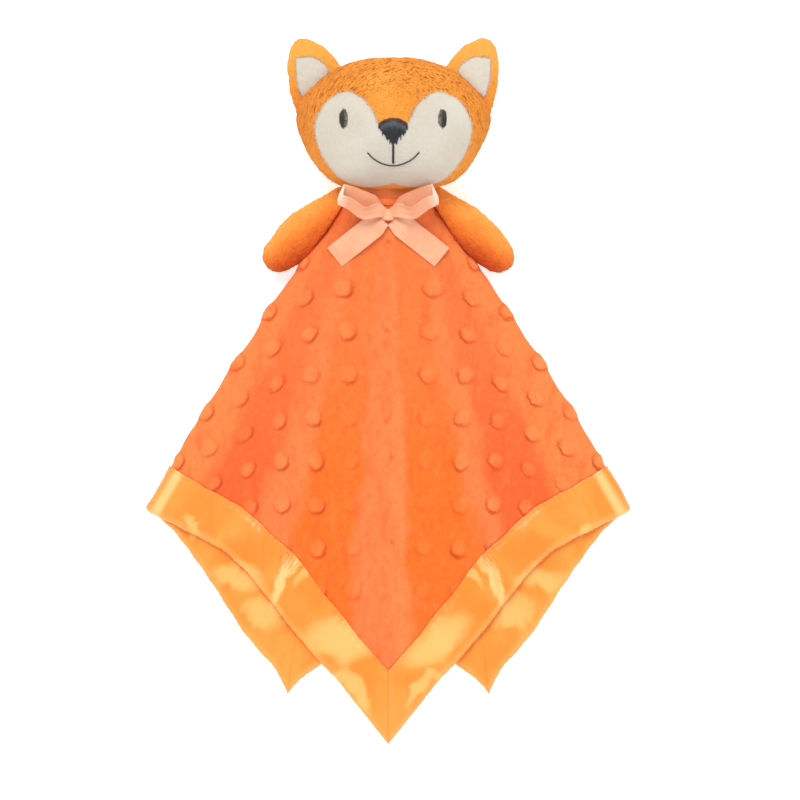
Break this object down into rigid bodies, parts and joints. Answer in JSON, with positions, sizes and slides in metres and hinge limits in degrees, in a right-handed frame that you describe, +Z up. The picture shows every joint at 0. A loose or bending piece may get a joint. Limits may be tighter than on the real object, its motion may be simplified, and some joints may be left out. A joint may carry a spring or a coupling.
{
  "type": "comfort blanket lovey",
  "caption": "Comfort blanket for a baby: a dotted plush square with a satin border, gathered under a small stuffed fox head with ears, arms and a ribbon bow.",
  "frame": {"origin": "on the ground under the middle of the toy lying on its back, at the centre of its bounding box", "axes": "+Z up out of the face, +Y towards the ears, +X towards the right of the picture"},
  "size_m": [0.243, 0.3519, 0.0566],
  "materials": {
    "minky": "orange short-pile plush with raised dots",
    "lining": "orange smooth knit",
    "satin": "amber satin, bright sheen",
    "orange_plush": "orange short-pile plush",
    "white_plush": "warm white short-pile plush",
    "embroidery": "dark satin-stitch thread",
    "ribbon": "peach satin ribbon",
    "stuffing": "white fibre filling",
    "sewing_thread": "orange sewing thread"
  },
  "bodies": {
    "blanket": {"blanket_minky_face": "minky", "blanket_lining": "lining", "binding_front_right": "satin", "binding_back_right": "satin", "binding_back_left": "satin", "binding_front_left": "satin", "neck_cover": "orange_plush", "neck_stuffing": "stuffing", "neck_gather_thread": "sewing_thread", "bow_loop_right": "ribbon", "bow_loop_left": "ribbon", "bow_tail_right": "ribbon", "bow_tail_left": "ribbon", "bow_knot": "ribbon"},
    "head": {"head_front_panel": "orange_plush", "face_mask": "white_plush", "head_back_panel": "orange_plush", "head_stuffing": "stuffing", "eye_left": "embroidery", "eye_right": "embroidery", "nose": "embroidery", "mouth_smile": "embroidery", "mouth_philtrum": "embroidery"},
    "ear_right": {"ear_right_cover": "orange_plush", "ear_right_inner": "white_plush"},
    "ear_left": {"ear_left_cover": "orange_plush", "ear_left_inner": "white_plush"},
    "arm_right": {"arm_right_cover": "orange_plush", "arm_right_stuffing": "stuffing"},
    "arm_left": {"arm_left_cover": "orange_plush", "arm_left_stuffing": "stuffing"}
  },
  "joints": [
    {"name": "head_nod", "type": "hinge", "parent": "blanket", "child": "head", "pos_m": [0.0025, 0.1003, 0.044], "axis": [1, 0, 0], "range_deg": [0, 20]},
    {"name": "ear_right_fold", "type": "hinge", "parent": "head", "child": "ear_right", "pos_m": [0.0398, 0.14875, 0.0315], "axis": [0.6542, -0.7563, 0], "range_deg": [0, 35]},
    {"name": "ear_left_fold", "type": "hinge", "parent": "head", "child": "ear_left", "pos_m": [-0.0348, 0.14875, 0.0315], "axis": [0.6542, 0.7563, 0], "range_deg": [0, 35]},
    {"name": "arm_right_lift", "type": "hinge", "parent": "blanket", "child": "arm_right", "pos_m": [0.0205, 0.0965, 0.0235], "axis": [-0.3419, -0.9397, 0], "range_deg": [0, 60]},
    {"name": "arm_left_lift", "type": "hinge", "parent": "blanket", "child": "arm_left", "pos_m": [-0.0205, 0.0965, 0.0235], "axis": [-0.3419, 0.9397, 0], "range_deg": [0, 60]}
  ]
}
